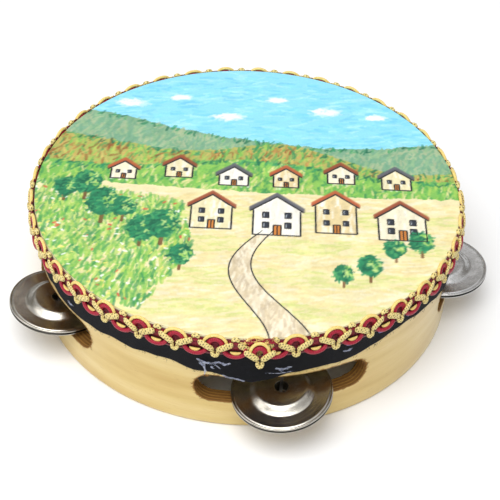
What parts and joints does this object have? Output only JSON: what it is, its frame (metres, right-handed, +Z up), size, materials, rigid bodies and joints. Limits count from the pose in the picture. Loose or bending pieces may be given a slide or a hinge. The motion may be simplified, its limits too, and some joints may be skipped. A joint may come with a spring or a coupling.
{
  "type": "tambourine",
  "caption": "Round frame drum with a painted skin, a cord braid round its rim and pairs of steel jingles that slide on pins in the slots of a wooden hoop.",
  "frame": {"origin": "centre of the circle of the hoop's open bottom rim", "axes": "+Z up through the middle of the skin, +Y towards the top of the picture on the skin, so the pair of jingles in front of the picture's foot is near -Y"},
  "size_m": [0.2263, 0.2322, 0.0576],
  "materials": {
    "hoop_wood": "pale bentwood with a satin varnish, scorched brown inside the slots",
    "painted_skin": "stretched drum skin, hand painted in bright opaque colours on the outside and bare cream inside",
    "black_cloth": "thin matt black cloth ribbon with a wavy cut edge",
    "crimson_cord": "satin crimson viscose cord",
    "speckled_cord": "flat gold cord with a woven pattern of dark dots",
    "gold_cord": "smooth pale gold satin cord",
    "dried_glue": "clear to milky dried hot glue",
    "pin_wire": "plain drawn steel wire, dulled",
    "jingle_steel": "bright stamped and polished steel sheet with turning scratches"
  },
  "bodies": {
    "drum": {"hoop": "hoop_wood", "drum_skin": "painted_skin", "trim_band": "black_cloth", "braid_crimson_cord": "crimson_cord", "braid_speckled_cord": "speckled_cord", "braid_gold_cord": "gold_cord", "braid_lap": "speckled_cord", "glue_spots": "dried_glue", "jingle_pin_1": "pin_wire", "jingle_pin_2": "pin_wire", "jingle_pin_3": "pin_wire", "jingle_pin_4": "pin_wire", "jingle_pin_5": "pin_wire"},
    "lower_jingle_1": {"lower_jingle_1": "jingle_steel"},
    "upper_jingle_1": {"upper_jingle_1": "jingle_steel"},
    "lower_jingle_2": {"lower_jingle_2": "jingle_steel"},
    "upper_jingle_2": {"upper_jingle_2": "jingle_steel"},
    "lower_jingle_3": {"lower_jingle_3": "jingle_steel"},
    "upper_jingle_3": {"upper_jingle_3": "jingle_steel"},
    "lower_jingle_4": {"lower_jingle_4": "jingle_steel"},
    "upper_jingle_4": {"upper_jingle_4": "jingle_steel"},
    "lower_jingle_5": {"lower_jingle_5": "jingle_steel"},
    "upper_jingle_5": {"upper_jingle_5": "jingle_steel"}
  },
  "joints": [
    {"name": "lower_jingle_1_slide", "type": "slide", "parent": "drum", "child": "lower_jingle_1", "axis": [0, 0, 1], "range_m": [0, 0.0028]},
    {"name": "upper_jingle_1_slide", "type": "slide", "parent": "lower_jingle_1", "child": "upper_jingle_1", "axis": [0, 0, 1], "range_m": [0, 0.0028]},
    {"name": "lower_jingle_2_slide", "type": "slide", "parent": "drum", "child": "lower_jingle_2", "axis": [0, 0, 1], "range_m": [0, 0.0036]},
    {"name": "upper_jingle_2_slide", "type": "slide", "parent": "lower_jingle_2", "child": "upper_jingle_2", "axis": [0, 0, 1], "range_m": [0, 0.0036]},
    {"name": "lower_jingle_3_slide", "type": "slide", "parent": "drum", "child": "lower_jingle_3", "axis": [0, 0, 1], "range_m": [0, 0.0039]},
    {"name": "upper_jingle_3_slide", "type": "slide", "parent": "lower_jingle_3", "child": "upper_jingle_3", "axis": [0, 0, 1], "range_m": [0, 0.0039]},
    {"name": "lower_jingle_4_slide", "type": "slide", "parent": "drum", "child": "lower_jingle_4", "axis": [0, 0, 1], "range_m": [0, 0.0035]},
    {"name": "upper_jingle_4_slide", "type": "slide", "parent": "lower_jingle_4", "child": "upper_jingle_4", "axis": [0, 0, 1], "range_m": [0, 0.0035]},
    {"name": "lower_jingle_5_slide", "type": "slide", "parent": "drum", "child": "lower_jingle_5", "axis": [0, 0, 1], "range_m": [0, 0.0035]},
    {"name": "upper_jingle_5_slide", "type": "slide", "parent": "lower_jingle_5", "child": "upper_jingle_5", "axis": [0, 0, 1], "range_m": [0, 0.0035]}
  ]
}
